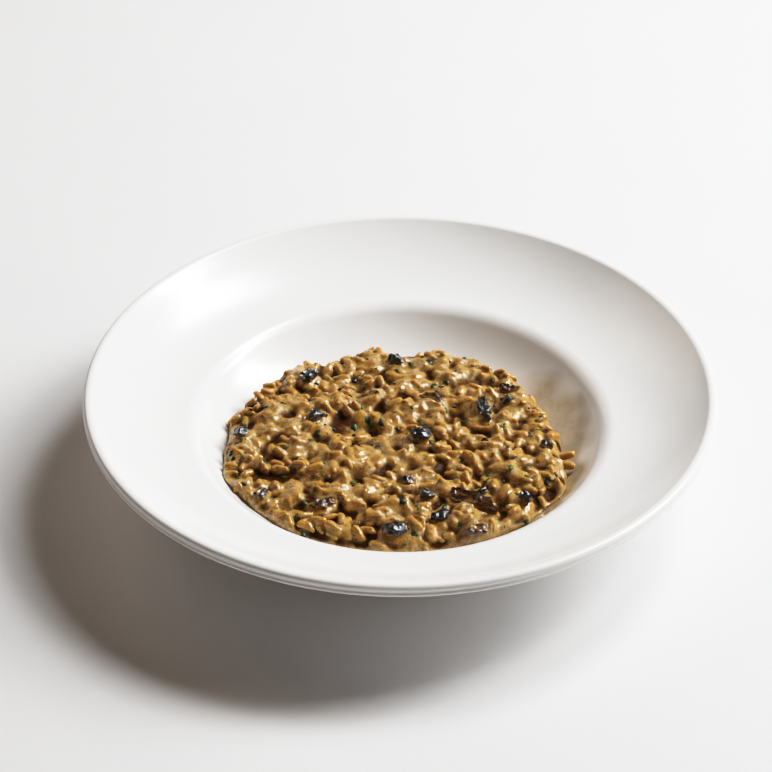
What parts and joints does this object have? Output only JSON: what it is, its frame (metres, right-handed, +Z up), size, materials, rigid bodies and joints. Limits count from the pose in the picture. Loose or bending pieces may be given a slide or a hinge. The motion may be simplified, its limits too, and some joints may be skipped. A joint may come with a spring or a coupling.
{
  "type": "mushroom risotto on plate",
  "caption": "Mushroom risotto heaped in the deep well of a round, wide-rimmed white porcelain plate, with dark glossy mushroom pieces bedded in the rice.",
  "frame": {"origin": "on the table plane, under the centre of the plate's foot ring", "axes": "+Z up, the plate's axis of revolution; +X to the right and +Y away from the diner, as the food is served"},
  "size_m": [0.2998, 0.2998, 0.0537],
  "materials": {
    "porcelain": "gloss",
    "risotto": "satin",
    "mushroom": "gloss"
  },
  "bodies": {
    "root": {"plate": "porcelain", "risotto": "risotto", "mushroom_cap_slice_long": "mushroom", "mushroom_cap_block_middle": "mushroom", "mushroom_cap_strip_upright": "mushroom", "mushroom_slice_brown_right": "mushroom", "mushroom_piece_under_slice": "mushroom", "mushroom_slice_brown_middle": "mushroom", "mushroom_piece_far_edge": "mushroom", "mushroom_cap_fold_far_left": "mushroom", "mushroom_cap_chunk_left": "mushroom", "mushroom_piece_left_edge": "mushroom", "mushroom_piece_near_left": "mushroom", "mushroom_slice_near_left": "mushroom", "mushroom_cap_dome_near": "mushroom", "mushroom_piece_right_edge": "mushroom", "mushroom_roll_middle": "mushroom", "mushroom_piece_beside_slice": "mushroom", "mushroom_chunk_near": "mushroom", "mushroom_piece_near_right": "mushroom", "mushroom_slice_near_right": "mushroom"}
  },
  "joints": []
}
